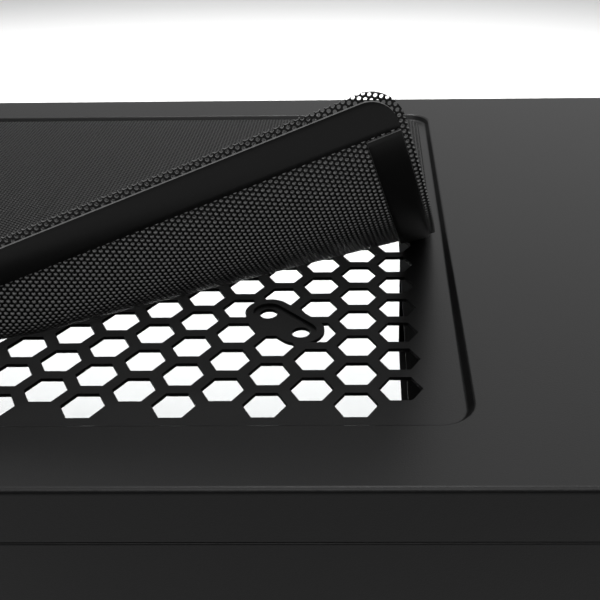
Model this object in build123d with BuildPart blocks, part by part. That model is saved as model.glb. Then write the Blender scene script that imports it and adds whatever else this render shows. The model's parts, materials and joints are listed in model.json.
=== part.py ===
from math import asin, cos, degrees, hypot, radians, sin, sqrt
import os

from build123d import *

os.makedirs("parts", exist_ok=True)

# Empty computer tower case. +X is the front, +Z is up, the glass side is +Y, the floor is Z = 0.
# Lengths are in millimetres.

# overall
REAR_X = -250.0
BULKHEAD_X = 220.0
FASCIA_X = 258.0
HALF_W = 127.0
TOP_Z = 480.0
FLOOR_Z = 20.0
SHEET = 1.0
FLANGE = 15.0
SIDE_TOP_Z = 464.5

# top vent
HEX_PITCH = 12.7
HEX_FLATS = 9.5
HEX_X0 = 100.0
HEX_Y0 = -95.25
FIRST_COLUMN = -28
LAST_COLUMN = 1
RECESS_X = -49.4
RECESS_L = 352.2
RECESS_W = 208.2
RECESS_DEPTH = 2.2
WALL_RUN = 1.4
WALL_ROUND = 1.0
MOUTH_R = 8.5
BOWL_SKIN = 0.6
TOP_BEND_R = 1.5
FAN_CENTRES_X = (22.2, -117.8)
HOLE_120 = 52.5
HOLE_140 = 62.25
TAB_WIDTH = 13.0
DISH_WIDTH = 8.6
DISH_DEPTH = 0.8
SCREW_HOLE_R = 2.5

# magnetic dust filter
FILTER_X0 = -222.5
FILTER_X1 = 123.7
FILTER_Y = 101.0
MESH_T = 0.7
STRIP_T = 0.9
STRIP_W = 8.8
STRIP_IN = 2.0
CORNER_R = 7.0
SEAM = 0.5
MESH_Z = 479.0
PEEL_X = -89.6
PEEL_ANGLE = 27.9
CONE_HALF = 16.2
FACETS = 7
PEEL_GAP = 0.4

BOWL_FLOOR_Z = TOP_Z - RECESS_DEPTH
MOUTH_L = RECESS_L + 2 * WALL_RUN
MOUTH_W = RECESS_W + 2 * WALL_RUN
FLOOR_R = MOUTH_R - WALL_RUN
HEX_R = HEX_FLATS / sqrt(3)
COLUMN_STEP = HEX_PITCH * sqrt(3) / 2
TAB_SPAN = (HOLE_140 - HOLE_120) * sqrt(2)
TAB_MID = (HOLE_140 + HOLE_120) / 2


def save(part, name):
    part.label = name
    export_step(part, f"parts/{name}.step")


# ---------------------------------------------------------------- top panel
hexes = []
for column in range(FIRST_COLUMN, LAST_COLUMN + 1):
    shift = HEX_PITCH / 2 * (column % 2)
    for row in range(16 - column % 2):
        hexes.append((HEX_X0 + COLUMN_STEP * column, HEX_Y0 + shift + HEX_PITCH * row))

tabs = []
for centre_x in FAN_CENTRES_X:
    for sx in (-1, 1):
        for sy in (-1, 1):
            tabs.append(Location((centre_x + sx * TAB_MID, sy * TAB_MID, 0), (0, 0, 45 * sx * sy)))

screws = []
for centre_x in FAN_CENTRES_X:
    for half in (HOLE_120, HOLE_140):
        for sx in (-1, 1):
            for sy in (-1, 1):
                screws.append((centre_x + sx * half, sy * half))

with BuildPart() as top_panel:
    with BuildSketch(Plane.YZ.offset(REAR_X)):
        with Locations((0, TOP_Z - FLANGE / 2)):
            Rectangle(2 * HALF_W, FLANGE)
        with Locations((0, TOP_Z - SHEET - FLANGE / 2)):
            Rectangle(2 * (HALF_W - SHEET), FLANGE, mode=Mode.SUBTRACT)
    extrude(amount=BULKHEAD_X - REAR_X)
    fillet(top_panel.edges().filter_by(Axis.X).filter_by_position(Axis.Z, TOP_Z - 0.01, TOP_Z + 0.01), TOP_BEND_R)
    inner = top_panel.edges().filter_by(Axis.X)
    fillet(inner.filter_by_position(Axis.Z, TOP_Z - SHEET - 0.01, TOP_Z - SHEET + 0.01), TOP_BEND_R - SHEET)
    # pressed bowl: the sheet under the recess, then the recess itself
    with BuildSketch(Plane.XY.offset(TOP_Z - SHEET)):
        with Locations((RECESS_X, 0)):
            RectangleRounded(MOUTH_L + 2 * BOWL_SKIN, MOUTH_W + 2 * BOWL_SKIN, MOUTH_R + BOWL_SKIN)
    with BuildSketch(Plane.XY.offset(BOWL_FLOOR_Z - SHEET)):
        with Locations((RECESS_X, 0)):
            RectangleRounded(RECESS_L + 2 * BOWL_SKIN, RECESS_W + 2 * BOWL_SKIN, FLOOR_R + BOWL_SKIN)
    loft()
    with BuildSketch(Plane.XY.offset(BOWL_FLOOR_Z - DISH_DEPTH - SHEET)):
        with Locations(*tabs):
            SlotCenterToCenter(TAB_SPAN, DISH_WIDTH + 2)
    extrude(amount=SHEET + DISH_DEPTH)
    with BuildSketch(Plane.XY.offset(TOP_Z)):
        with Locations((RECESS_X, 0)):
            RectangleRounded(MOUTH_L, MOUTH_W, MOUTH_R)
    with BuildSketch(Plane.XY.offset(BOWL_FLOOR_Z)):
        with Locations((RECESS_X, 0)):
            RectangleRounded(RECESS_L, RECESS_W, FLOOR_R)
    loft(mode=Mode.SUBTRACT)
    # the press leaves a soft round at the mouth of the bowl and at its floor
    half_mouth = MOUTH_L / 2 + 0.1
    mouth = top_panel.edges().filter_by_position(Axis.Z, TOP_Z - 0.01, TOP_Z + 0.01)
    mouth = mouth.filter_by_position(Axis.X, RECESS_X - half_mouth, RECESS_X + half_mouth)
    fillet(mouth.filter_by_position(Axis.Y, 10 - HALF_W, HALF_W - 10), WALL_ROUND)
    bowl_floor = top_panel.edges()
    fillet(bowl_floor.filter_by_position(Axis.Z, BOWL_FLOOR_Z - 0.01, BOWL_FLOOR_Z + 0.01), WALL_ROUND)
    with BuildSketch(Plane.XY.offset(BOWL_FLOOR_Z - DISH_DEPTH)):
        with Locations(*tabs):
            SlotCenterToCenter(TAB_SPAN, DISH_WIDTH)
    extrude(amount=DISH_DEPTH, mode=Mode.SUBTRACT)
    with BuildSketch(Plane.XY.offset(TOP_Z - 5)):
        with Locations(*hexes):
            RegularPolygon(HEX_R, 6)
        with Locations(*tabs):
            SlotCenterToCenter(TAB_SPAN, TAB_WIDTH, mode=Mode.SUBTRACT)
        with Locations(*screws):
            Circle(SCREW_HOLE_R)
    extrude(amount=5, mode=Mode.SUBTRACT)
save(top_panel.part, "top_panel")

# ---------------------------------------------------------------- dust filter
# The near front corner is peeled up. The raised part is a cone, made of flat facets that share
# the apex at the near edge. It leaves the flat part along a straight line from the apex.
apex = Vector(PEEL_X, -FILTER_Y, MESH_Z)
peel_dir = Vector(cos(radians(PEEL_ANGLE)), sin(radians(PEEL_ANGLE)), 0)
peel_side = Vector(sin(radians(PEEL_ANGLE)), -cos(radians(PEEL_ANGLE)), 0)
cone_axis = peel_dir * cos(radians(CONE_HALF)) + Vector(0, 0, 1) * sin(radians(CONE_HALF))
cone_up = Vector(0, 0, 1) * cos(radians(CONE_HALF)) - peel_dir * sin(radians(CONE_HALF))
facet_angle = PEEL_ANGLE / FACETS
facet_turn = degrees(2 * asin(sin(radians(facet_angle / 2)) / sin(radians(CONE_HALF))))


def cone_ray(k):
    turn = radians(k * facet_turn)
    out = peel_side * sin(turn) - cone_up * cos(turn)
    return cone_axis * cos(radians(CONE_HALF)) + out * sin(radians(CONE_HALF))


def facet_plane(k):
    ray = cone_ray(k)
    normal = cone_ray(k + 1).cross(ray).normalized()
    flat = radians(PEEL_ANGLE - k * facet_angle)
    x_dir = ray * cos(flat) - normal.cross(ray) * sin(flat)
    return Plane(origin=apex, x_dir=x_dir, z_dir=normal)


def wedge(k, extra):
    reach = 400
    high = radians(PEEL_ANGLE - k * facet_angle)
    low = radians(PEEL_ANGLE - (k + 1) * facet_angle)
    up = extra if k else 0
    corners = [(0, 0)]
    if k:
        corners = [(-up * sin(high), up * cos(high)), (extra * sin(low), -extra * cos(low))]
    corners.append((reach * cos(low) + extra * sin(low), reach * sin(low) - extra * cos(low)))
    corners.append((reach * cos(high) - up * sin(high), reach * sin(high) + up * cos(high)))
    return corners


def base_side():
    """The part of the flat sheet that stays down, as a polygon about the apex."""
    back = Vector(-sin(radians(PEEL_ANGLE)), cos(radians(PEEL_ANGLE))) * PEEL_GAP
    start = Vector(-PEEL_GAP / sin(radians(PEEL_ANGLE)), 0)
    far = Vector(cos(radians(PEEL_ANGLE)), sin(radians(PEEL_ANGLE))) * 400 + back
    return [(start.X, -1), (start.X, 0), (far.X, far.Y), (far.X, 400), (-400, 400), (-400, -1)]


LENGTH = FILTER_X1 - FILTER_X0
MID = ((FILTER_X0 + FILTER_X1) / 2 - PEEL_X, FILTER_Y)
RIGHT = FILTER_X1 - PEEL_X
LEFT = FILTER_X0 - PEEL_X
STRIP_L = LENGTH - 2 * STRIP_IN
STRIP_S = 2 * FILTER_Y - 2 * STRIP_IN - 2 * STRIP_W
flat_plane = Plane(origin=apex, x_dir=(1, 0, 0), z_dir=(0, 0, 1))


def draw_mesh():
    with Locations(MID):
        RectangleRounded(LENGTH, 2 * FILTER_Y, CORNER_R + STRIP_IN)


def draw_long_strip(y_mid):
    """A full-length strip with its two outer corners rounded."""
    with Locations((MID[0], y_mid)):
        Rectangle(STRIP_L, STRIP_W)
    with Locations(MID):
        RectangleRounded(STRIP_L, 2 * FILTER_Y - 2 * STRIP_IN, CORNER_R, mode=Mode.INTERSECT)


def draw_short_strip(x_mid):
    with Locations((x_mid, FILTER_Y)):
        Rectangle(STRIP_W, STRIP_S - 2 * SEAM)


NEAR_Y = STRIP_IN + STRIP_W / 2
FAR_Y = 2 * FILTER_Y - NEAR_Y
RIGHT_X = RIGHT - STRIP_IN - STRIP_W / 2
LEFT_X = LEFT + STRIP_IN + STRIP_W / 2

with BuildPart() as filter_mesh_base:
    with BuildSketch(flat_plane):
        draw_mesh()
        Polygon(*base_side(), align=None, mode=Mode.INTERSECT)
    extrude(amount=MESH_T)
save(filter_mesh_base.part, "filter_mesh_base")

with BuildPart() as filter_mesh_flap:
    for k in range(FACETS):
        with BuildSketch(facet_plane(k)):
            draw_mesh()
            Polygon(*wedge(k, 0), align=None, mode=Mode.INTERSECT)
        extrude(amount=MESH_T)
save(filter_mesh_flap.part, "filter_mesh_flap")

with BuildPart() as strip_far:
    with BuildSketch(flat_plane.offset(-STRIP_T)):
        draw_long_strip(FAR_Y)
    extrude(amount=STRIP_T)
save(strip_far.part, "strip_far")

with BuildPart() as strip_left:
    with BuildSketch(flat_plane.offset(-STRIP_T)):
        draw_short_strip(LEFT_X)
    extrude(amount=STRIP_T)
save(strip_left.part, "strip_left")

with BuildPart() as strip_near_base:
    with BuildSketch(flat_plane.offset(-STRIP_T)):
        draw_long_strip(NEAR_Y)
        Polygon(*base_side(), align=None, mode=Mode.INTERSECT)
    extrude(amount=STRIP_T)
save(strip_near_base.part, "strip_near_base")

with BuildPart() as strip_right_base:
    with BuildSketch(flat_plane.offset(-STRIP_T)):
        draw_short_strip(RIGHT_X)
        Polygon(*base_side(), align=None, mode=Mode.INTERSECT)
    extrude(amount=STRIP_T)
save(strip_right_base.part, "strip_right_base")

with BuildPart() as strip_near_flap:
    for k in range(FACETS):
        with BuildSketch(facet_plane(k).offset(-STRIP_T)):
            draw_long_strip(NEAR_Y)
            Polygon(*wedge(k, 0.3), align=None, mode=Mode.INTERSECT)
        extrude(amount=STRIP_T - 0.05)
save(strip_near_flap.part, "strip_near_flap")

with BuildPart() as strip_right_flap:
    for k in range(FACETS):
        with BuildSketch(facet_plane(k).offset(-STRIP_T)):
            draw_short_strip(RIGHT_X)
            Polygon(*wedge(k, 0.3), align=None, mode=Mode.INTERSECT)
        extrude(amount=STRIP_T - 0.05)
save(strip_right_flap.part, "strip_right_flap")

# ---------------------------------------------------------------- steel chassis
IO_SLOT = (-75.5, 369.5, 45.0, 159.0)
REAR_FAN = (10.0, 385.0)
REAR_HEX_PITCH = 9.6
REAR_HEX_R = 4.7
SLOT_Z = 145.0
SLOT_STEP = 20.32
SLOT_COUNT = 7
PANEL_SCREW_Z = (60.0, 430.0)
PANEL_SCREW_Y = -113.5
BAY_Z = (381.0, 425.0)
BAY_H = BAY_Z[1] - BAY_Z[0]
BAY_MID_Z = (BAY_Z[0] + BAY_Z[1]) / 2
BAY_W = 148.0
CAGE_X = 116.0
BULKHEAD_TOP_Z = 476.0
FRONT_FAN_Z = (98.0, 240.0)
PEG_PLACES = ((-106, 33), (106, 33), (-106, 462), (106, 462))

with BuildPart() as bottom_panel:
    with BuildSketch(Plane.XY.offset(FLOOR_Z)):
        with Locations(((REAR_X + 1 + BULKHEAD_X) / 2, 0)):
            Rectangle(BULKHEAD_X - REAR_X - 1, 2 * 117.5)
        with Locations((-160, 0)):
            with GridLocations(14, 0, 10, 1):
                SlotCenterToCenter(90, 8, rotation=90, mode=Mode.SUBTRACT)
    extrude(amount=SHEET)
    # rails for the floor filter
    for side in (-1, 1):
        with BuildSketch(Plane.YZ.offset(-240)):
            with Locations((side * 62.5, 16.5)):
                Rectangle(3, 7)
            with Locations((side * 59.5, 13.5)):
                Rectangle(3.2, 1)
        extrude(amount=165)
save(bottom_panel.part, "bottom_panel")

rear_hexes = []
for column in range(-6, 7):
    for row in range(-6, 7):
        hex_y = REAR_HEX_PITCH * sqrt(3) / 2 * column
        hex_z = REAR_HEX_PITCH * (row + 0.5 * (column % 2))
        if hypot(hex_y, hex_z) < 51:
            rear_hexes.append((REAR_FAN[0] + hex_y, REAR_FAN[1] + hex_z))

with BuildPart() as rear_panel:
    with BuildSketch(Plane.YZ.offset(REAR_X + 1)):
        with Locations((0, (FLOOR_Z + SHEET + TOP_Z - SHEET) / 2)):
            Rectangle(235, TOP_Z - FLOOR_Z - 2 * SHEET)
        with Locations((IO_SLOT[0], IO_SLOT[1])):
            Rectangle(IO_SLOT[2], IO_SLOT[3], mode=Mode.SUBTRACT)
        with Locations(*rear_hexes):
            RegularPolygon(REAR_HEX_R, 6, mode=Mode.SUBTRACT)
        with Locations(REAR_FAN):
            with GridLocations(2 * HOLE_120, 2 * HOLE_120, 2, 2):
                Circle(2.6, mode=Mode.SUBTRACT)
        for slot in range(SLOT_COUNT):
            with Locations((-44, SLOT_Z + SLOT_STEP * slot)):
                Rectangle(106, 13, mode=Mode.SUBTRACT)
        with Locations((0, 71)):
            Rectangle(150, 86, mode=Mode.SUBTRACT)
        for screw_z in PANEL_SCREW_Z:
            with Locations((PANEL_SCREW_Y, screw_z)):
                Circle(2.6, mode=Mode.SUBTRACT)
    extrude(amount=SHEET)
save(rear_panel.part, "rear_panel")

with BuildPart() as front_bulkhead:
    with BuildSketch(Plane.YZ.offset(BULKHEAD_X - SHEET)):
        with Locations((0, (FLOOR_Z + SHEET + BULKHEAD_TOP_Z) / 2)):
            Rectangle(251.4, BULKHEAD_TOP_Z - FLOOR_Z - SHEET)
        for fan_z in FRONT_FAN_Z:
            with Locations((0, fan_z)):
                Circle(67, mode=Mode.SUBTRACT)
                with GridLocations(2 * HOLE_140, 2 * HOLE_140, 2, 2):
                    Circle(2.6, mode=Mode.SUBTRACT)
        with Locations((0, BAY_MID_Z)):
            Rectangle(BAY_W, BAY_H, mode=Mode.SUBTRACT)
        with Locations(*PEG_PLACES):
            Circle(5, mode=Mode.SUBTRACT)
    extrude(amount=SHEET)
save(front_bulkhead.part, "front_bulkhead")

TRAY_Y = 104.0
GROMMET_X = 75.0
GROMMET_Z = (220.0, 340.0)
GROMMET_SPAN = 60.0
GROMMET_SLOT = 30.0
GROMMET_BORE = 22.0
STANDOFF_H = 6.5
STANDOFF_Z = (145.0, 300.0, 425.0)
STANDOFF_X = (-240.0, -160.0, -85.0)

with BuildPart() as motherboard_tray:
    with BuildSketch(Plane.XZ.offset(TRAY_Y)):
        with Locations((-74, (119 + BULKHEAD_TOP_Z) / 2)):
            Rectangle(348, 357)
        with Locations((-165, 385)):
            RectangleRounded(120, 70, 8, mode=Mode.SUBTRACT)
        for grommet_z in GROMMET_Z:
            with Locations((GROMMET_X, grommet_z)):
                SlotCenterToCenter(GROMMET_SPAN, GROMMET_SLOT, rotation=90, mode=Mode.SUBTRACT)
    extrude(amount=SHEET)
save(motherboard_tray.part, "motherboard_tray")

for index, grommet_z in enumerate(GROMMET_Z):
    with BuildPart() as grommet:
        with BuildSketch(Plane.XZ.offset(TRAY_Y - 1.5)):
            with Locations((GROMMET_X, grommet_z)):
                SlotCenterToCenter(GROMMET_SPAN, GROMMET_SLOT + 4, rotation=90)
                SlotCenterToCenter(GROMMET_SPAN, GROMMET_BORE, rotation=90, mode=Mode.SUBTRACT)
        extrude(amount=1.5)
        with BuildSketch(Plane.XZ.offset(TRAY_Y)):
            with Locations((GROMMET_X, grommet_z)):
                SlotCenterToCenter(GROMMET_SPAN, GROMMET_SLOT, rotation=90)
                SlotCenterToCenter(GROMMET_SPAN, GROMMET_BORE, rotation=90, mode=Mode.SUBTRACT)
        extrude(amount=2.5)
    save(grommet.part, f"grommet_{index + 1}")

with BuildPart() as standoffs:
    for stand_x in STANDOFF_X:
        for stand_z in STANDOFF_Z:
            with BuildSketch(Plane.XZ.offset(TRAY_Y - STANDOFF_H)):
                with Locations((stand_x, stand_z)):
                    RegularPolygon(3, 6)
                    Circle(1.3, mode=Mode.SUBTRACT)
            extrude(amount=STANDOFF_H)
save(standoffs.part, "standoffs")

with BuildPart() as psu_shroud:
    with BuildSketch(Plane.YZ.offset(REAR_X + 2)):
        with Locations((6.5, 118.5)):
            Rectangle(221, SHEET)
        with Locations((116.5, 70)):
            Rectangle(SHEET, 98)
    extrude(amount=348)
    with BuildSketch(Plane.XY.offset(117)):
        for column in range(10):
            shift = HEX_PITCH / 2 * (column % 2)
            for row in range(8):
                with Locations((-210 + COLUMN_STEP * column, shift + HEX_PITCH * (row - 4))):
                    RegularPolygon(HEX_R, 6)
    extrude(amount=4, mode=Mode.SUBTRACT)
save(psu_shroud.part, "psu_shroud")

with BuildPart() as optical_cage:
    with BuildSketch(Plane.YZ.offset(CAGE_X)):
        with Locations((7, BAY_Z[1] + SHEET / 2)):
            Rectangle(220, SHEET)
        for side in (-1, 1):
            with Locations((side * (BAY_W + SHEET) / 2, BAY_MID_Z)):
                Rectangle(SHEET, BAY_H)
        with Locations((0, BAY_Z[0] - SHEET / 2)):
            Rectangle(BAY_W + 2 * SHEET, SHEET)
    extrude(amount=BULKHEAD_X - SHEET - CAGE_X)
save(optical_cage.part, "optical_cage")

DRIVE_W = 104.0
DRIVE_H = 35.5
DRIVE_MID_Z = 58.0

with BuildPart() as drive_cage:
    with BuildSketch(Plane.XZ.offset(-60)):
        with Locations((44, DRIVE_MID_Z)):
            Rectangle(DRIVE_W + 2 * SHEET, 2 * DRIVE_H + 3 * SHEET)
        for level in (-1, 1):
            with Locations((44, DRIVE_MID_Z + level * (DRIVE_H + SHEET) / 2)):
                Rectangle(DRIVE_W, DRIVE_H, mode=Mode.SUBTRACT)
    extrude(amount=120)
save(drive_cage.part, "drive_cage")

for slot in range(SLOT_COUNT):
    with BuildPart() as slot_cover:
        with BuildSketch(Plane.YZ.offset(REAR_X + 2)):
            with Locations((-40, SLOT_Z + SLOT_STEP * slot)):
                Rectangle(122, 18.4)
                with GridLocations(13, 0, 7, 1):
                    RectangleRounded(9.5, 8, 2, mode=Mode.SUBTRACT)
        extrude(amount=SHEET)
    save(slot_cover.part, f"slot_cover_{slot + 1}")

with BuildPart() as slot_screws:
    for slot in range(SLOT_COUNT):
        with BuildSketch(Plane.YZ.offset(REAR_X + 3)):
            with Locations((16, SLOT_Z + SLOT_STEP * slot)):
                Circle(4)
                RegularPolygon(1.8, 6, mode=Mode.SUBTRACT)
        extrude(amount=4)
save(slot_screws.part, "slot_screws")

# ---------------------------------------------------------------- fans
FAN_DEPTH = 25.0
HUB_R = 20.0
STATOR_T = 4.0
BLADES = 9


def build_fan(plane, size, holes, name):
    """A fan frame and its rotor. The motor side is at the plane and the air goes along its normal."""
    bore = size / 2 - 3
    with BuildPart() as frame:
        with BuildSketch(plane):
            RectangleRounded(size, size, 5)
            Circle(bore, mode=Mode.SUBTRACT)
            with GridLocations(2 * holes, 2 * holes, 2, 2):
                Circle(2.2, mode=Mode.SUBTRACT)
        extrude(amount=FAN_DEPTH)
        with BuildSketch(plane):
            Circle(HUB_R + 1)
            with PolarLocations((bore + HUB_R) / 2, 4):
                Rectangle(bore - HUB_R + 2, 5)
        extrude(amount=STATOR_T)
    save(frame.part, f"{name}_frame")
    with BuildPart() as rotor:
        with BuildSketch(plane.offset(STATOR_T + 0.5)):
            Circle(HUB_R)
        extrude(amount=19)
        with Locations(plane.offset(14)):
            with PolarLocations((bore + 16) / 2, BLADES):
                Box(bore - 20, 1.8, 18, rotation=(40, 0, 0))
    save(rotor.part, f"{name}_rotor")


build_fan(Plane(origin=(REAR_X + 27, *REAR_FAN), x_dir=(0, 1, 0), z_dir=(-1, 0, 0)), 120, HOLE_120, "rear_fan")
for label, fan_z in zip(("lower", "upper"), FRONT_FAN_Z):
    front_plane = Plane(origin=(BULKHEAD_X - 26, 0, fan_z), x_dir=(0, 1, 0), z_dir=(1, 0, 0))
    build_fan(front_plane, 140, HOLE_140, f"front_fan_{label}")

with BuildPart() as fan_screws:
    with BuildSketch(Plane.YZ.offset(REAR_X - 1)):
        with Locations(REAR_FAN):
            with GridLocations(2 * HOLE_120, 2 * HOLE_120, 2, 2):
                Circle(4)
    extrude(amount=2)
    with BuildSketch(Plane.YZ.offset(BULKHEAD_X)):
        for fan_z in FRONT_FAN_Z:
            with Locations((0, fan_z)):
                with GridLocations(2 * HOLE_140, 2 * HOLE_140, 2, 2):
                    Circle(4)
    extrude(amount=2)
save(fan_screws.part, "fan_screws")

# ---------------------------------------------------------------- feet and floor filter
PAD_H = 2.0
FLOOR_FILTER_X = -163.0
FLOOR_FILTER_Z = 14.6
FLOOR_FILTER_T = 3.6

for name, foot_x in (("rear", -205.0), ("front", 180.0)):
    for side, foot_y in (("steel", -95.0), ("glass", 95.0)):
        with BuildPart() as foot:
            with BuildSketch(Plane.XY.offset(FLOOR_Z)):
                with Locations((foot_x, foot_y)):
                    RectangleRounded(60, 28, 8)
            extrude(amount=PAD_H - FLOOR_Z, taper=8)
        save(foot.part, f"foot_{name}_{side}")
        with BuildPart() as pad:
            with BuildSketch():
                with Locations((foot_x, foot_y)):
                    RectangleRounded(46, 16, 5)
            extrude(amount=PAD_H)
            fillet(pad.edges().group_by(Axis.Z)[0], 0.8)
        save(pad.part, f"pad_{name}_{side}")

with BuildPart() as floor_filter_frame:
    with BuildSketch(Plane.XY.offset(FLOOR_FILTER_Z)):
        with Locations((FLOOR_FILTER_X, 0)):
            Rectangle(162, 121)
            Rectangle(150, 108, mode=Mode.SUBTRACT)
            Rectangle(4, 110)
            Rectangle(150, 4)
        with Locations((-248, 0)):
            RectangleRounded(10, 40, 3)
    extrude(amount=FLOOR_FILTER_T)
save(floor_filter_frame.part, "floor_filter_frame")

with BuildPart() as floor_filter_mesh:
    with BuildSketch(Plane.XY.offset(FLOOR_FILTER_Z + FLOOR_FILTER_T)):
        with Locations((FLOOR_FILTER_X, 0)):
            Rectangle(156, 114)
    extrude(amount=0.6)
save(floor_filter_mesh.part, "floor_filter_mesh")

# ---------------------------------------------------------------- side panels
SIDE_BASE_Z = 22.0
SIDE_H = SIDE_TOP_Z - SIDE_BASE_Z
SIDE_MID_Z = (SIDE_TOP_Z + SIDE_BASE_Z) / 2
FOLD_W = 7.8
REAR_LIP_T = 0.7

with BuildPart() as side_panel:
    with BuildSketch(Plane.XZ.offset(HALF_W - SHEET)):
        with Locations((-15.25, SIDE_MID_Z)):
            Rectangle(469.5, SIDE_H)
    extrude(amount=SHEET)
    with BuildSketch(Plane.XZ.offset(HALF_W - SHEET - FOLD_W)):
        for fold_z in (SIDE_BASE_Z + SHEET / 2, SIDE_TOP_Z - SHEET / 2):
            with Locations((-15.75, fold_z)):
                Rectangle(468.5, SHEET)
    extrude(amount=FOLD_W)
    with BuildSketch(Plane.XZ.offset(108)):
        with Locations((REAR_X + REAR_LIP_T / 2, SIDE_MID_Z)):
            Rectangle(REAR_LIP_T, SIDE_H)
    extrude(amount=18)
    fillet(side_panel.edges().filter_by(Axis.X).group_by(Axis.Y)[0], 0.6)
save(side_panel.part, "side_panel")

with BuildPart() as side_panel_screws:
    for screw_z in PANEL_SCREW_Z:
        with BuildSketch(Plane.YZ.offset(REAR_X)):
            with Locations((PANEL_SCREW_Y, screw_z)):
                Circle(5.6)
        extrude(amount=-1.2)
        with BuildSketch(Plane.YZ.offset(REAR_X - 1.2)):
            with Locations((PANEL_SCREW_Y, screw_z)):
                Circle(5)
                with PolarLocations(5.1, 20):
                    Circle(0.4, mode=Mode.SUBTRACT)
        extrude(amount=-6.8)
        with BuildSketch(Plane.YZ.offset(REAR_X - 6.5)):
            with Locations((PANEL_SCREW_Y, screw_z)):
                Rectangle(6, 1.2)
                Rectangle(1.2, 6)
        extrude(amount=-2, mode=Mode.SUBTRACT)
save(side_panel_screws.part, "side_panel_screws")

GLASS_Y = 123.5
GLASS_T = 4.0
WASHER_T = 0.8
KNOB_R = 7.0
KNOB_PLACES = ((-240, 136), (-240, 446), (211, 136), (211, 446))

with BuildPart() as glass_panel:
    with BuildSketch(Plane.XZ.offset(-GLASS_Y)):
        with Locations((-15, SIDE_MID_Z + 0.5)):
            RectangleRounded(466, SIDE_H - 1, 4)
        with Locations(*KNOB_PLACES):
            Circle(4, mode=Mode.SUBTRACT)
    extrude(amount=GLASS_T)
save(glass_panel.part, "glass_panel")

with BuildPart() as glass_knobs:
    with BuildSketch(Plane.XZ.offset(-HALF_W)):
        for place in KNOB_PLACES:
            with Locations(place):
                Circle(KNOB_R)
                with PolarLocations(KNOB_R + 0.1, 28):
                    Circle(0.4, mode=Mode.SUBTRACT)
    extrude(amount=HALF_W - GLASS_Y)
    with BuildSketch(Plane.XZ.offset(-GLASS_Y)):
        with Locations(*KNOB_PLACES):
            Circle(2.5)
    extrude(amount=14)
save(glass_knobs.part, "glass_knobs")

with BuildPart() as glass_washers:
    with BuildSketch(Plane.XZ.offset(GLASS_T - GLASS_Y)):
        with Locations(*KNOB_PLACES):
            Circle(6)
        with Locations(*KNOB_PLACES):
            Circle(2.5, mode=Mode.SUBTRACT)
    extrude(amount=WASHER_T)
save(glass_washers.part, "glass_washers")

with BuildPart() as glass_posts:
    with BuildSketch(Plane.XZ.offset(GLASS_T - GLASS_Y + WASHER_T + 0.3)):
        with Locations(*KNOB_PLACES):
            RectangleRounded(16, 12, 2)
        with Locations(*KNOB_PLACES):
            Circle(3, mode=Mode.SUBTRACT)
    extrude(amount=13)
save(glass_posts.part, "glass_posts")

# ---------------------------------------------------------------- front fascia
IO_X = 240.0
POWER_Y = -40.0
RESET_Y = -16.0
USB_Y = (4.0, 26.0)
AUDIO_Y = 44.0
BACK_X = BULKHEAD_X + 0.8
GRILLE_Z = 205.0
GRILLE_T = 1.5
CLOTH_T = 0.8
SKIN_X = 254.0
BOARD_Z = 452.0
BOARD_T = 1.6
PORT_Z = BOARD_Z + BOARD_T
PORT_H = TOP_Z - PORT_Z

with BuildPart() as fascia:
    with BuildSketch(Plane.YZ.offset(BACK_X)):
        with Locations((0, (SIDE_BASE_Z + TOP_Z) / 2)):
            RectangleRounded(2 * HALF_W, TOP_Z - SIDE_BASE_Z, 2)
    extrude(amount=FASCIA_X - BACK_X)
    fillet(fascia.edges().group_by(Axis.X)[-1], 1.8)
    with BuildSketch(Plane.YZ.offset(BACK_X)):
        with Locations((0, (27 + 470) / 2)):
            Rectangle(246, 443)
    extrude(amount=SKIN_X - BACK_X, mode=Mode.SUBTRACT)
    with BuildSketch(Plane.YZ.offset(250)):
        with Locations((0, GRILLE_Z)):
            RectangleRounded(210, 320, 8)
        with Locations((0, BAY_MID_Z)):
            Rectangle(BAY_W, 42)
    extrude(amount=10, mode=Mode.SUBTRACT)
    with BuildSketch(Plane.XY.offset(465)):
        with Locations((IO_X, POWER_Y)):
            Circle(7.5)
        with Locations((IO_X, RESET_Y), (IO_X, AUDIO_Y)):
            Circle(4.5)
        with Locations(*[(IO_X, y) for y in USB_Y]):
            Rectangle(7.4, 14.9)
    extrude(amount=20, mode=Mode.SUBTRACT)
    # pegs on legs that reach back from the front skin
    with BuildSketch(Plane.YZ.offset(212)):
        with Locations(*PEG_PLACES):
            Circle(4)
    extrude(amount=42)
save(fascia.part, "fascia")

front_hexes = []
for column in range(-10, 11):
    shift = HEX_PITCH / 2 * (column % 2)
    for row in range(-12, 13 - column % 2):
        front_hexes.append((COLUMN_STEP * column, GRILLE_Z + shift + HEX_PITCH * row))

with BuildPart() as front_grille:
    with BuildSketch(Plane.YZ.offset(SKIN_X - GRILLE_T)):
        with Locations((0, GRILLE_Z)):
            Rectangle(238, 334)
        with Locations(*front_hexes):
            RegularPolygon(HEX_R, 6, mode=Mode.SUBTRACT)
    extrude(amount=GRILLE_T)
save(front_grille.part, "front_grille")

with BuildPart() as front_filter:
    with BuildSketch(Plane.YZ.offset(SKIN_X - GRILLE_T - CLOTH_T)):
        with Locations((0, GRILLE_Z)):
            Rectangle(214, 326)
    extrude(amount=CLOTH_T)
save(front_filter.part, "front_filter")

with BuildPart() as bay_cover:
    with BuildSketch(Plane.YZ.offset(SKIN_X - 3)):
        with Locations((0, BAY_MID_Z)):
            Rectangle(156, 50)
    extrude(amount=3)
    with BuildSketch(Plane.YZ.offset(SKIN_X)):
        with Locations((0, BAY_MID_Z)):
            Rectangle(147.6, 41.6)
    extrude(amount=3.6)
save(bay_cover.part, "bay_cover")

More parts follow.
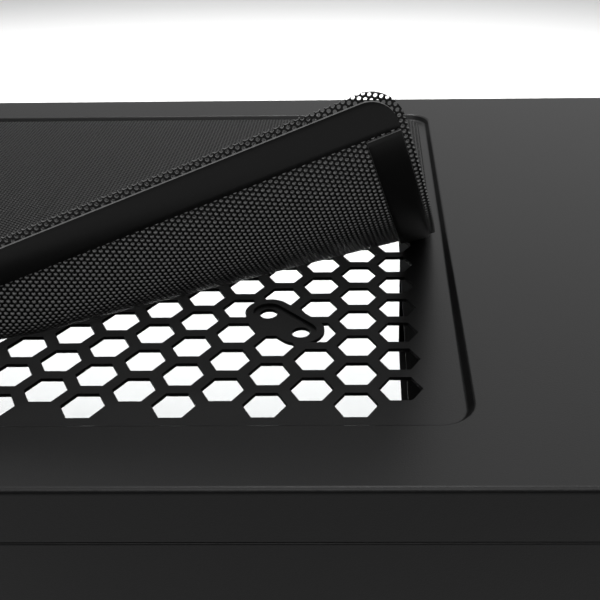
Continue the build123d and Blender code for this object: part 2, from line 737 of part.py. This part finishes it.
with BuildPart() as io_board:
    with BuildSketch(Plane.XY.offset(BOARD_Z)):
        with Locations((241, 2)):
            Rectangle(26, 112)
    extrude(amount=BOARD_T)
    with BuildSketch(Plane.XY.offset(PORT_Z)):
        with Locations((IO_X, POWER_Y), (IO_X, RESET_Y)):
            Rectangle(6, 6)
    extrude(amount=8)
save(io_board.part, "io_board")

for name, button_y, radius in (("power_button", POWER_Y, 7.0), ("reset_button", RESET_Y, 4.0)):
    with BuildPart() as button:
        with BuildSketch(Plane.XY.offset(465)):
            with Locations((IO_X, button_y)):
                Circle(radius)
        extrude(amount=16)
        fillet(button.edges().group_by(Axis.Z)[-1], 0.6)
        with BuildSketch(Plane.XY.offset(465)):
            with Locations((IO_X, button_y)):
                Circle(radius + 1.6)
        extrude(amount=4.6)
    save(button.part, name)

for index, port_y in enumerate(USB_Y):
    with BuildPart() as usb_port:
        with BuildSketch(Plane.XY.offset(PORT_Z)):
            with Locations((IO_X, port_y)):
                Rectangle(7, 14.5)
        extrude(amount=PORT_H)
        with BuildSketch(Plane.XY.offset(466)):
            with Locations((IO_X, port_y)):
                Rectangle(5, 12.5)
        extrude(amount=20, mode=Mode.SUBTRACT)
        with BuildSketch(Plane.XY.offset(466)):
            with Locations((IO_X - 0.8, port_y)):
                Rectangle(1.8, 11)
        extrude(amount=12)
    save(usb_port.part, f"usb_port_{index + 1}")

with BuildPart() as audio_jack:
    with BuildSketch(Plane.XY.offset(PORT_Z)):
        with Locations((IO_X, AUDIO_Y)):
            Circle(4.2)
    extrude(amount=PORT_H)
    with BuildSketch(Plane.XY.offset(464)):
        with Locations((IO_X, AUDIO_Y)):
            Circle(1.8)
    extrude(amount=20, mode=Mode.SUBTRACT)
save(audio_jack.part, "audio_jack")
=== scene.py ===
import json
import math

import bpy
import numpy as np
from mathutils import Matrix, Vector


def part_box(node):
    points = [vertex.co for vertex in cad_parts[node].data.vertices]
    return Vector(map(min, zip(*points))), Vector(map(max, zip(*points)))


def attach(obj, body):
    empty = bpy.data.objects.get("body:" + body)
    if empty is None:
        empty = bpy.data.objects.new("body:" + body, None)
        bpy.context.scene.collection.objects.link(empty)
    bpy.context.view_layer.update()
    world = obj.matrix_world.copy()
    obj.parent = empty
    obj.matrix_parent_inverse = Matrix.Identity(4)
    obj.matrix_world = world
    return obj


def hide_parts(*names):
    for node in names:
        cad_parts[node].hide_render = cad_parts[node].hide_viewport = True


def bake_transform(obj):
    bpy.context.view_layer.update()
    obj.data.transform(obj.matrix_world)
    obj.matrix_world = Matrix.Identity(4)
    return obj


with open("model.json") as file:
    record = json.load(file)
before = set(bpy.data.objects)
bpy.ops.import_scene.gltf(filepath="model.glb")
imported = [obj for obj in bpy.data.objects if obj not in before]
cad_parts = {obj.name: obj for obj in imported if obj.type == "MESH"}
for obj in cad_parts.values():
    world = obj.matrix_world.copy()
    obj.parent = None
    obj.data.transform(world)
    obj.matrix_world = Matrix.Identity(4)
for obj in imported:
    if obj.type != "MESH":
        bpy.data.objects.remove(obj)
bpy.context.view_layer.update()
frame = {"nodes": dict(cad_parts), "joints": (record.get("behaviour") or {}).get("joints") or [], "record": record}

MM = 0.001

# ---------------------------------------------------------------- places, all worked out from the frame
MESH_LO, MESH_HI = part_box("filter_mesh_base")
STRIP_LO, STRIP_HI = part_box("strip_far")
peel = next(j for j in frame["joints"] if j["name"] == "filter_peel")
APEX = np.array(peel["pos_m"])
PEEL_DIR = -np.array(peel["axis"])
PEEL_SIDE = np.array([PEEL_DIR[1], -PEEL_DIR[0], 0.0])

MESH_T = MESH_HI.z - MESH_LO.z
MESH_X = (MESH_LO.x, MESH_HI.x)
MESH_Y = (MESH_LO.y, MESH_HI.y)
STRIP_T = STRIP_HI.z - STRIP_LO.z
STRIP_W = STRIP_HI.y - STRIP_LO.y
STRIP_IN = 2 * MM
SEAM = 0.8 * MM
CORNER_R = 7 * MM
CONE_HALF = math.radians(16.2)

# How far the soft middle of the raised corner hangs out from the cone, by distance from its tip.
BELLY_AT = (0, 110 * MM, 240 * MM)
BELLY_OUT = (0, 4.2 * MM, -1.8 * MM)
BELLY_END = 0.85


def bend(points, drop):
    """Flat sheet points (x, y) carried onto the sheet: flat behind the peel line and a cone past it.

    drop is how far below the sheet's top each point lies. The soft middle hangs out from the cone
    near the apex and is drawn in towards the far corner."""
    flat = points - APEX[:2]
    reach = np.hypot(flat[:, 0], flat[:, 1])
    peel_angle = math.atan2(PEEL_DIR[1], PEEL_DIR[0])
    past = peel_angle - np.arctan2(flat[:, 1], flat[:, 0])
    past = np.where(flat @ PEEL_SIDE[:2] > 0, past, 0)
    turn = past / math.sin(CONE_HALF)
    up = np.array([0.0, 0.0, 1.0])
    axis = PEEL_DIR * math.cos(CONE_HALF) + up * math.sin(CONE_HALF)
    inward = up * math.cos(CONE_HALF) - PEEL_DIR * math.sin(CONE_HALF)
    radial = np.sin(turn)[:, None] * PEEL_SIDE - np.cos(turn)[:, None] * inward
    ray = axis * math.cos(CONE_HALF) + radial * math.sin(CONE_HALF)
    outward = radial * math.cos(CONE_HALF) - axis * math.sin(CONE_HALF)
    share = np.clip(past / peel_angle / BELLY_END, 0, 1)
    belly = np.interp(reach, BELLY_AT, BELLY_OUT) * np.sin(math.pi * share) ** 3
    bent = APEX + reach[:, None] * ray + outward * (drop + belly)[:, None]
    level = np.column_stack([points, np.full(len(points), APEX[2] - drop)])
    return np.where((past > 0)[:, None], bent, level)


# ---------------------------------------------------------------- materials


def material(name, colour, rough, metallic=0.0, grain=0.0, grain_scale=3000.0, tone=0.0, **sockets):
    """A Principled surface whose colour, roughness and bump come from noise at the surface's own scale."""
    made = bpy.data.materials.new(name)
    made.use_nodes = True
    nodes, links = made.node_tree.nodes, made.node_tree.links
    shader = nodes["Principled BSDF"]
    shader.inputs["Metallic"].default_value = metallic
    for socket, value in sockets.items():
        shader.inputs[socket.replace("_", " ")].default_value = value
    place = nodes.new("ShaderNodeTexCoord")
    cloud = nodes.new("ShaderNodeTexNoise")
    cloud.inputs["Scale"].default_value = 14
    cloud.inputs["Detail"].default_value = 5
    links.new(place.outputs["Object"], cloud.inputs["Vector"])
    fine = nodes.new("ShaderNodeTexNoise")
    fine.inputs["Scale"].default_value = grain_scale
    fine.inputs["Detail"].default_value = 2
    links.new(place.outputs["Object"], fine.inputs["Vector"])
    ramp = nodes.new("ShaderNodeMapRange")
    ramp.inputs["To Min"].default_value = 1 - tone
    ramp.inputs["To Max"].default_value = 1 + tone
    links.new(cloud.outputs["Fac"], ramp.inputs["Value"])
    tint = nodes.new("ShaderNodeVectorMath")
    tint.operation = "SCALE"
    tint.inputs[0].default_value = colour
    links.new(ramp.outputs["Result"], tint.inputs["Scale"])
    links.new(tint.outputs["Vector"], shader.inputs["Base Color"])
    gloss = nodes.new("ShaderNodeMapRange")
    gloss.inputs["To Min"].default_value = rough - 0.05
    gloss.inputs["To Max"].default_value = rough + 0.05
    links.new(fine.outputs["Fac"], gloss.inputs["Value"])
    links.new(gloss.outputs["Result"], shader.inputs["Roughness"])
    if grain:
        bump = nodes.new("ShaderNodeBump")
        bump.inputs["Strength"].default_value = grain
        bump.inputs["Distance"].default_value = 0.05 * MM
        links.new(fine.outputs["Fac"], bump.inputs["Height"])
        links.new(bump.outputs["Normal"], shader.inputs["Normal"])
    return made


COAT = material("powder_coat", (0.007, 0.007, 0.0072), 0.35, grain=0.7, grain_scale=2400, tone=0.12)
MESH_PVC = material("mesh_pvc", (0.006, 0.006, 0.006), 0.33, grain=0.3, grain_scale=5000, tone=0.2)
MAGNET = material("magnet_strip", (0.006, 0.006, 0.006), 0.3, grain=0.12, grain_scale=1500, tone=0.15)
# Painted highlight: the walls of the raised flap's holes and the strips' cut sides are lighter than their faces,
# from the photograph, for the light that catches them.
PAINTED_HIGHLIGHT_PVC = material("mesh_pvc_painted_highlight", (0.17, 0.17, 0.17), 0.4, grain=0.3, grain_scale=5000, tone=0.2)
PAINTED_HIGHLIGHT_MAGNET = material("magnet_side_painted_highlight", (0.32, 0.32, 0.32), 0.55, grain=0.3, grain_scale=3000, tone=0.15)
# Painted shade: a darker, less shiny copy of the powder coat for the parts inside the case, which lie in shade.
PAINTED_SHADE_COAT = material(
    "coat_painted_shade", (0.005, 0.005, 0.005), 0.6, grain=0.3, grain_scale=2400, tone=0.12, Specular_IOR_Level=0.25
)
PLASTIC = material("case_plastic", (0.022, 0.022, 0.022), 0.55, grain=0.5, grain_scale=1800, tone=0.1)
FAN_PLASTIC = material("fan_plastic", (0.018, 0.018, 0.019), 0.45, grain=0.3, grain_scale=2600, tone=0.1)
SCREW = material("black_zinc", (0.05, 0.05, 0.052), 0.3, metallic=0.9, grain=0.2, grain_scale=900, tone=0.2)
BRASS = material("brass", (0.62, 0.42, 0.16), 0.3, metallic=1.0, grain=0.2, grain_scale=1200, tone=0.15)
RUBBER = material("rubber", (0.012, 0.012, 0.012), 0.75, grain=0.6, grain_scale=1400, tone=0.2)
CLOTH = material("nylon_cloth", (0.015, 0.015, 0.015), 0.8, grain=0.8, grain_scale=2000, tone=0.1)
BOARD = material("solder_mask", (0.004, 0.02, 0.01), 0.35, grain=0.2, grain_scale=1600, tone=0.2)
PORT = material("port_plastic", (0.02, 0.02, 0.02), 0.4, grain=0.3, grain_scale=2000, tone=0.1)


def glass_material():
    """Clear glass: transparent, with a sharp reflection that grows at a shallow angle."""
    made = bpy.data.materials.new("clear_glass")
    made.use_nodes = True
    nodes, links = made.node_tree.nodes, made.node_tree.links
    nodes.clear()
    out = nodes.new("ShaderNodeOutputMaterial")
    clear = nodes.new("ShaderNodeBsdfTransparent")
    clear.inputs["Color"].default_value = (0.96, 0.97, 0.97, 1)
    shine = nodes.new("ShaderNodeBsdfGlossy")
    shine.inputs["Roughness"].default_value = 0.02
    mix = nodes.new("ShaderNodeMixShader")
    edge = nodes.new("ShaderNodeFresnel")
    edge.inputs["IOR"].default_value = 1.3
    links.new(edge.outputs["Fac"], mix.inputs["Fac"])
    links.new(clear.outputs["BSDF"], mix.inputs[1])
    links.new(shine.outputs["BSDF"], mix.inputs[2])
    links.new(mix.outputs["Shader"], out.inputs["Surface"])
    return made


GLASS = glass_material()
BY_SLOT = {
    "black_coat": COAT,
    "filter_mesh": MESH_PVC,
    "magnet_strip": MAGNET,
    "fan_plastic": FAN_PLASTIC,
    "screw_steel": SCREW,
    "brass": BRASS,
    "rubber": RUBBER,
    "posts": COAT,
    "feet": PLASTIC,
    "floor_filter": PLASTIC,
    "glass": GLASS,
    "fascia_plastic": PLASTIC,
    "grille": COAT,
    "front_cloth": CLOTH,
    "board": BOARD,
    "ports": PORT,
}
INSIDE = ("optical_cage", "drive_cage", "front_bulkhead", "psu_shroud", "motherboard_tray")
for part in frame["record"]["subparts"]:
    data = frame["nodes"][part["node"]].data
    data.materials.clear()
    # The parts inside the case get the painted-shade copy of the coat.
    inside = part["node"] in INSIDE
    data.materials.append(PAINTED_SHADE_COAT if inside else BY_SLOT[part["material_slot"]])


def new_piece(name, points, faces, surface):
    """A mesh piece from points and faces of three or four corners each, given as rows of indices."""
    faces = np.asarray(faces)
    distinct = faces != np.roll(faces, 1, axis=1)
    corners = faces[distinct]
    count = distinct.sum(axis=1)
    data = bpy.data.meshes.new(name)
    data.vertices.add(len(points))
    data.vertices.foreach_set("co", np.asarray(points, dtype=np.float32).ravel())
    data.loops.add(len(corners))
    data.loops.foreach_set("vertex_index", corners.astype(np.int32))
    data.polygons.add(len(faces))
    data.polygons.foreach_set("loop_start", (np.cumsum(count) - count).astype(np.int32))
    data.update(calc_edges=True)
    data.validate()
    data.materials.append(surface)
    piece = bpy.data.objects.new(name, data)
    bpy.context.scene.collection.objects.link(piece)
    return piece


def thicken(piece, thickness):
    shell = piece.modifiers.new("thickness", "SOLIDIFY")
    shell.thickness = thickness
    shell.offset = -1
    shell.use_even_offset = False
    return shell


# ---------------------------------------------------------------- filter mesh, with its holes
HOLE_PITCH = 1.4665 * MM
HOLE_R = 0.52 * MM
NOTCH_IN = 0.25 * MM
COLUMN_STEP = HOLE_PITCH * math.sqrt(3) / 2
WELD = 0.001 * MM
BASE_PATCHES = 7
FLAP_PATCHES = 3
BASE_SIDES = 6
FLAP_SIDES = 12
BASE_HOLE_R = HOLE_R * 1.08  # a six-sided hole this wide is about as open as a twelve-sided one
SLIVER = 2e-4 * MM * MM  # twice the area of the smallest face kept


def inside_outline(points, radius):
    """Points moved onto the sheet's rounded outline where they lie outside it."""
    moved = points.copy()
    moved[:, 0] = np.clip(moved[:, 0], *MESH_X)
    moved[:, 1] = np.clip(moved[:, 1], *MESH_Y)
    for corner_x, sign_x in zip(MESH_X, (1, -1)):
        for corner_y, sign_y in zip(MESH_Y, (1, -1)):
            centre = np.array([corner_x + sign_x * radius, corner_y + sign_y * radius])
            off = moved - centre
            out = (off[:, 0] * sign_x < 0) & (off[:, 1] * sign_y < 0) & (np.hypot(*off.T) > radius)
            moved[out] = centre + off[out] / np.hypot(*off[out].T)[:, None] * radius
    return moved


def hole_centres():
    """The holes in columns across the sheet, each column half a pitch along from the last."""
    columns = np.arange(math.ceil((MESH_X[1] - MESH_X[0]) / COLUMN_STEP) + 1)
    rows = np.arange(math.ceil((MESH_Y[1] - MESH_Y[0]) / HOLE_PITCH) + 1)
    column, row = np.meshgrid(columns, rows, indexing="ij")
    return np.column_stack([
        (MESH_X[1] - column * COLUMN_STEP).ravel(),
        (MESH_Y[0] + NOTCH_IN + (row + column % 2 / 2) * HOLE_PITCH).ravel(),
    ])


def perforated(centres, sides, hole_reach):
    """Cells of the sheet with a hole in each, as a closed solid cut off at the sheet's outline."""
    turn = np.arange(sides) * 2 * math.pi / sides
    ring = np.column_stack([np.cos(turn), np.sin(turn)])
    to_side = HOLE_PITCH / 2 / np.cos((turn % (math.pi / 3)) - math.pi / 6)
    outer = centres[:, None, :] + ring * to_side[:, None]
    inner = centres[:, None, :] + ring * hole_reach
    count = len(centres) * sides
    points = np.concatenate([outer.reshape(-1, 2), inner.reshape(-1, 2)])
    points = inside_outline(points, CORNER_R + STRIP_IN)
    key, weld = np.unique(np.round(points / WELD).astype(np.int64), axis=0, return_inverse=True)
    first = np.arange(count).reshape(-1, sides)
    after = np.roll(first, -1, axis=1)
    quads = np.stack([first, after, after + count, first + count], axis=-1).reshape(-1, 4)
    quads = weld.reshape(-1)[quads]
    flat = key * WELD
    a, b, c, d = (flat[quads[:, i]] for i in range(4))
    quads = quads[np.abs(np.cross(c - a, d - b)) > SLIVER]
    used, quads = np.unique(quads, return_inverse=True)
    quads = quads.reshape(-1, 4)
    flat = flat[used]
    total = len(flat)
    start, end = quads.ravel(), np.roll(quads, -1, axis=1).ravel()
    real = start != end
    start, end = start[real], end[real]
    rim = ~np.isin(start * total + end, end * total + start)
    start, end = start[rim], end[rim]
    walls = np.stack([end, start, start + total, end + total], axis=1)
    solid = np.concatenate([quads, quads[:, ::-1] + total, walls])
    return np.concatenate([bend(flat, 0.0), bend(flat, MESH_T)]), solid, len(walls)


centres = hole_centres()
raised = (centres - APEX[:2]) @ PEEL_SIDE[:2] > 0
mesh_pieces = []
for part_of, patches, sides, hole_reach, node in (
    (raised, FLAP_PATCHES, FLAP_SIDES, HOLE_R, "filter_mesh_flap"),
    (~raised, BASE_PATCHES, BASE_SIDES, BASE_HOLE_R, "filter_mesh_base"),
):
    own = centres[part_of]
    own = own[np.argsort(own[:, 0], kind="stable")]
    for share in np.array_split(own, patches):
        name = f"filter_mesh_{len(mesh_pieces) + 1}"
        points, faces, walls = perforated(share, sides, hole_reach)
        piece = new_piece(name, points, faces, MESH_PVC)
        # The raised flap's hole walls take the painted highlight as their second slot; the base's hole walls keep
        # the plain PVC.
        piece.data.materials.append(PAINTED_HIGHLIGHT_PVC if node == "filter_mesh_flap" else MESH_PVC)
        cut_side = np.zeros(len(piece.data.polygons), dtype=np.int32)
        cut_side[-walls:] = 1
        piece.data.polygons.foreach_set("material_index", cut_side)
        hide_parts(node)
        mesh_pieces.append(piece)

# ---------------------------------------------------------------- magnetic strips
EDGE = 0.12 * MM
LANES = 7
ROUND_STEPS = 14
LONG_STEPS = 260
SHORT_STEPS = 140


def strip(name, outline_low, outline_high, along, swap):
    """A flat strip between two edges, given at each place along it, laid under the mesh and bevelled."""
    low = np.array([outline_low(t) for t in along])
    high = np.array([outline_high(t) for t in along])
    points = []
    for lane in range(LANES):
        share = lane / (LANES - 1)
        level = low * (1 - share) + high * share
        pair = np.column_stack([level, along]) if swap else np.column_stack([along, level])
        points.append(pair)
    points = np.concatenate(points)
    n = len(along)
    faces = []
    for lane in range(LANES - 1):
        for k in range(n - 1):
            a = lane * n + k
            quad = (a, a + 1, a + 1 + n, a + n)
            faces.append(quad[::-1] if swap else quad)
    piece = new_piece(name, bend(points, MESH_T), faces, MAGNET)
    # The second slot is a painted highlight on the strip's cut sides, given to them through the rim offset below.
    piece.data.materials.append(PAINTED_HIGHLIGHT_MAGNET)
    thicken(piece, STRIP_T).material_offset_rim = 1
    edge = piece.modifiers.new("edge", "BEVEL")
    edge.width = EDGE
    edge.segments = 2
    edge.limit_method = "ANGLE"
    edge.angle_limit = math.radians(60)
    return piece


X_LOW, X_HIGH = MESH_X[0] + STRIP_IN, MESH_X[1] - STRIP_IN
Y_LOW, Y_HIGH = MESH_Y[0] + STRIP_IN, MESH_Y[1] - STRIP_IN


def corner_cut(x):
    """How far the rounded corner pulls a long strip's outer edge in at x."""
    near_end = min(x - X_LOW, X_HIGH - x)
    if near_end >= CORNER_R:
        return 0.0
    return CORNER_R - math.sqrt(max(CORNER_R**2 - (CORNER_R - near_end) ** 2, 0))


ends = CORNER_R * (1 - np.cos(np.linspace(0, math.pi / 2, ROUND_STEPS)))
straight = np.linspace(X_LOW + CORNER_R, X_HIGH - CORNER_R, LONG_STEPS)[1:-1]
along_x = np.concatenate([X_LOW + ends, straight, (X_HIGH - ends)[::-1]])
along_y = np.linspace(Y_LOW + STRIP_W + SEAM, Y_HIGH - STRIP_W - SEAM, SHORT_STEPS)

near_strip = strip("near_strip", lambda x: Y_LOW + corner_cut(x), lambda x: Y_LOW + STRIP_W, along_x, False)
far_strip = strip("far_strip", lambda x: Y_HIGH - STRIP_W, lambda x: Y_HIGH - corner_cut(x), along_x, False)
right_strip = strip("right_strip", lambda y: X_HIGH - STRIP_W, lambda y: X_HIGH, along_y, True)
left_strip = strip("left_strip", lambda y: X_LOW, lambda y: X_LOW + STRIP_W, along_y, True)
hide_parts("strip_near_base", "strip_near_flap")
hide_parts("strip_right_base", "strip_right_flap")
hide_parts("strip_far")
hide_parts("strip_left")
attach(far_strip, "filter")
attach(left_strip, "filter")
for piece in (*mesh_pieces, near_strip, right_strip):
    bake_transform(piece)

# ---------------------------------------------------------------- woven nylon filters
THREADS_PER_M = 900
SAG = 0.6 * MM
CLOTH_CELLS = 60
# Shares of the CAD cloth's thickness: where the cloth lies in it, how far down it may sag, how thick it is.
CLOTH_LEVEL = 0.75
SAG_MOST = 0.45
CLOTH_T = 0.3


def weave_material():
    """Black nylon cloth: threads over and under each other, as bands in two directions."""
    made = material("woven_nylon", (0.02, 0.02, 0.021), 0.6, grain=0.3, grain_scale=4000, tone=0.12)
    nodes, links = made.node_tree.nodes, made.node_tree.links
    shader, bump = nodes["Principled BSDF"], nodes["Bump"]
    place = nodes["Texture Coordinate"]
    threads = []
    for direction in ("X", "Y", "Z"):
        band = nodes.new("ShaderNodeTexWave")
        band.bands_direction = direction
        band.inputs["Scale"].default_value = THREADS_PER_M / 2
        links.new(place.outputs["Object"], band.inputs["Vector"])
        threads.append(band)
    height = threads[0]
    for band in threads[1:]:
        join = nodes.new("ShaderNodeMath")
        join.operation = "ADD"
        links.new(height.outputs[0], join.inputs[0])
        links.new(band.outputs["Fac"], join.inputs[1])
        height = join
    weave = nodes.new("ShaderNodeBump")
    weave.inputs["Strength"].default_value = 0.7
    weave.inputs["Distance"].default_value = 0.2 * MM
    links.new(height.outputs[0], weave.inputs["Height"])
    links.new(bump.outputs["Normal"], weave.inputs["Normal"])
    links.new(weave.outputs["Normal"], shader.inputs["Normal"])
    return made


WOVEN = weave_material()


def stretched_cloth(name, node, through):
    """A cloth held by its rim, in place of a flat CAD one. through is the axis it is thin along."""
    low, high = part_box(node)
    across = [axis for axis in range(3) if axis != through]
    thick = high[through] - low[through]
    share = np.linspace(0, 1, CLOTH_CELLS + 1)
    u, v = np.meshgrid(share, share, indexing="ij")
    points = np.zeros((u.size, 3))
    size = [high[axis] - low[axis] for axis in across]
    points[:, across[0]] = low[across[0]] + u.ravel() * size[0]
    points[:, across[1]] = low[across[1]] + v.ravel() * size[1]
    belly = (16 * u * (1 - u) * v * (1 - v)).ravel() * SAG
    points[:, through] = low[through] + thick * CLOTH_LEVEL - np.minimum(belly, thick * SAG_MOST)
    n = CLOTH_CELLS + 1
    i, j = np.meshgrid(np.arange(CLOTH_CELLS), np.arange(CLOTH_CELLS), indexing="ij")
    corner = (i * n + j).ravel()
    faces = np.stack([corner, corner + n, corner + n + 1, corner + 1], axis=1)
    piece = new_piece(name, points, faces, WOVEN)
    weave = piece.modifiers.new("thickness", "SOLIDIFY")
    weave.thickness = thick * CLOTH_T
    weave.offset = 0
    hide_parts(node)
    return piece


front_cloth = stretched_cloth("front_woven_filter", "front_filter", 0)
floor_cloth = stretched_cloth(
    "floor_woven_filter", "floor_filter_mesh", 2
)
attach(front_cloth, "front")
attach(floor_cloth, "floor_filter")

# ---------------------------------------------------------------- floor, lights, camera


def plane(name, size, place, surface):
    half = size / 2
    around = [(-half, -half, 0), (half, -half, 0), (half, half, 0), (-half, half, 0)]
    corners = np.array(around) + np.array(place)
    data = bpy.data.meshes.new(name)
    data.from_pydata(corners.tolist(), [], [(0, 1, 2, 3)])
    data.materials.append(surface)
    made = bpy.data.objects.new(name, data)
    bpy.context.scene.collection.objects.link(made)
    return made


FLOOR = material("floor_paint", (0.6, 0.6, 0.6), 0.7, tone=0.01)
FLOOR_SIZE = 60.0
FLOOR_DOWN = 0.5 * MM
plane("floor", FLOOR_SIZE, (0, 0, -FLOOR_DOWN), FLOOR)


def area_light(name, place, target, size, power, spread=180):
    data = bpy.data.lights.new(name, "AREA")
    data.shape = "RECTANGLE"
    data.size, data.size_y = size
    data.energy = power
    data.spread = math.radians(spread)
    lamp = bpy.data.objects.new(name, data)
    lamp.location = place
    lamp.rotation_euler = (Vector(target) - Vector(place)).to_track_quat("-Z", "Y").to_euler()
    bpy.context.scene.collection.objects.link(lamp)
    return lamp


area_light("overhead", (-0.2, 1.4, 3.2), (-0.2, 1.4, 0.0), (2.6, 1.2), 38, spread=50)
area_light("front_fill", (0.0, -0.9, 2.1), (0.0, -0.1, 0.48), (1.6, 0.5), 4)
LIGHT_UP = math.radians(68)


def studio_world():
    """A pale room with a wide soft light high up behind the case, and dim in front of it."""
    made = bpy.data.worlds.new("studio")
    made.use_nodes = True
    nodes, links = made.node_tree.nodes, made.node_tree.links
    back = nodes["Background"]
    place = nodes.new("ShaderNodeTexCoord")
    towards = nodes.new("ShaderNodeVectorMath")
    towards.operation = "DOT_PRODUCT"
    towards.inputs[1].default_value = (0.2, math.cos(LIGHT_UP), math.sin(LIGHT_UP))
    links.new(place.outputs["Generated"], towards.inputs[0])
    fade = nodes.new("ShaderNodeMapRange")
    fade.interpolation_type = "SMOOTHSTEP"
    fade.inputs["From Min"].default_value = 0.1
    fade.inputs["From Max"].default_value = 1.0
    fade.inputs["To Min"].default_value = 0.03
    fade.inputs["To Max"].default_value = 0.75
    links.new(towards.outputs["Value"], fade.inputs["Value"])
    path = nodes.new("ShaderNodeLightPath")
    seen = nodes.new("ShaderNodeMath")
    seen.operation = "MAXIMUM"
    links.new(path.outputs["Is Camera Ray"], seen.inputs[0])
    links.new(fade.outputs["Result"], seen.inputs[1])
    links.new(seen.outputs["Value"], back.inputs["Strength"])
    back.inputs["Color"].default_value = (1, 1, 1, 1)
    return made


bpy.context.scene.world = studio_world()
bpy.context.scene.view_settings.view_transform = "Standard"

# The camera fitted to the honeycomb, the recess and the folded edges in the photograph.
camera_data = bpy.data.cameras.new("camera")
camera_data.sensor_width = 36
camera_data.lens = 52.77
camera_data.shift_x = -0.0992
camera_data.clip_start = 0.01
camera = bpy.data.objects.new("camera", camera_data)
camera.location = (0.1042, -0.2632, 0.6085)
camera.rotation_euler = (math.radians(58.89), math.radians(0.71), math.radians(0.59))
bpy.context.scene.collection.objects.link(camera)
bpy.context.scene.camera = camera
